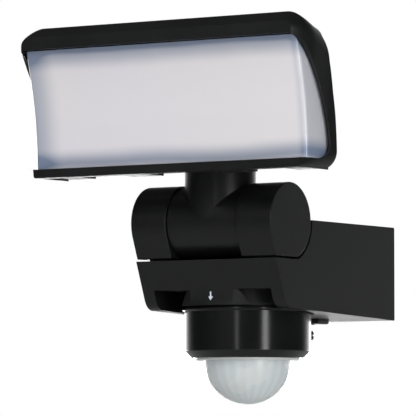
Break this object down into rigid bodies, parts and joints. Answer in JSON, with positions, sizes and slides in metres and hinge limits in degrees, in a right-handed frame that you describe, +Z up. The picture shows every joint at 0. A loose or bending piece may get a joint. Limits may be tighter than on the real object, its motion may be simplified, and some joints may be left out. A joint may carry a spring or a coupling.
{
  "type": "wall flood light",
  "caption": "Wall-mounted LED flood light with a tilting, turning lamp head on a yoke and a turning motion sensor with a dome lens below its wall housing.",
  "frame": {"origin": "middle of the wall bracket's back face, on the wall plane", "axes": "+Y into the wall, +Z up, +X to the right as seen when facing the wall"},
  "size_m": [0.185, 0.1804, 0.2062],
  "materials": {
    "black_plastic": "satin, finely grained moulded plastic",
    "inner_plastic": "plain moulded plastic",
    "white_plastic": "plain moulded plastic",
    "diffuser_plastic": "milky frosted diffuser",
    "lens_plastic": "translucent ribbed lens sheet",
    "rubber": "soft black rubber",
    "steel": "zinc-plated",
    "aluminium": "plain rolled sheet",
    "board_green": "lacquered circuit board",
    "board_white": "white lacquered circuit board"
  },
  "bodies": {
    "root": {"wall_housing": "black_plastic", "wall_gasket": "rubber", "wall_bracket": "steel", "cable_grommet": "rubber", "housing_lock_screw": "steel", "driver_board": "board_green", "driver_transformer": "inner_plastic", "driver_capacitor": "inner_plastic", "driver_relay": "white_plastic", "terminal_block": "white_plastic", "board_screw_front": "steel", "board_screw_rear": "steel", "yoke_arm_left": "black_plastic", "yoke_arm_right": "black_plastic", "yoke_screw_1": "steel", "yoke_screw_2": "steel", "yoke_screw_3": "steel", "yoke_screw_4": "steel", "tilt_axle": "steel", "friction_washer_left": "rubber", "friction_washer_right": "rubber"},
    "tilt_arm": {"tilt_knuckle": "black_plastic"},
    "lamp_head": {"lamp_bezel": "black_plastic", "diffuser": "diffuser_plastic", "led_board": "board_white", "heat_plate": "aluminium", "rear_cover": "black_plastic", "cover_screw_1": "steel", "cover_screw_2": "steel", "cover_screw_3": "steel", "cover_screw_4": "steel", "pan_retaining_ring": "steel", "socket_cap": "black_plastic"},
    "sensor": {"sensor_housing": "black_plastic", "sensor_retainer": "inner_plastic", "sensor_board": "board_green", "pyro_sensor": "steel", "lens_ring": "white_plastic", "sensor_lens": "lens_plastic"},
    "range_knob": {"range_knob": "black_plastic"},
    "time_knob": {"time_knob": "black_plastic"},
    "dusk_knob": {"dusk_knob": "black_plastic"}
  },
  "joints": [
    {"name": "head_tilt", "type": "hinge", "parent": "root", "child": "tilt_arm", "pos_m": [0, -0.113, 0.025], "axis": [1, 0, 0], "range_deg": [-15, 75]},
    {"name": "head_turn", "type": "hinge", "parent": "tilt_arm", "child": "lamp_head", "pos_m": [0, -0.113, 0.07], "axis": [0, 0, 1], "range_deg": [-60, 60]},
    {"name": "sensor_turn", "type": "hinge", "parent": "root", "child": "sensor", "pos_m": [0, -0.085, -0.035], "axis": [0, 0, 1], "range_deg": [-90, 90]},
    {"name": "range_knob_turn", "type": "hinge", "parent": "sensor", "child": "range_knob", "pos_m": [0.02314, -0.05742, -0.036], "axis": [0.6428, 0.766, 0], "range_deg": [-135, 135]},
    {"name": "time_knob_turn", "type": "hinge", "parent": "sensor", "child": "time_knob", "pos_m": [0, -0.049, -0.036], "axis": [0, 1, 0], "range_deg": [-135, 135]},
    {"name": "dusk_knob_turn", "type": "hinge", "parent": "sensor", "child": "dusk_knob", "pos_m": [-0.02314, -0.05742, -0.036], "axis": [-0.6428, 0.766, 0], "range_deg": [-135, 135]}
  ]
}
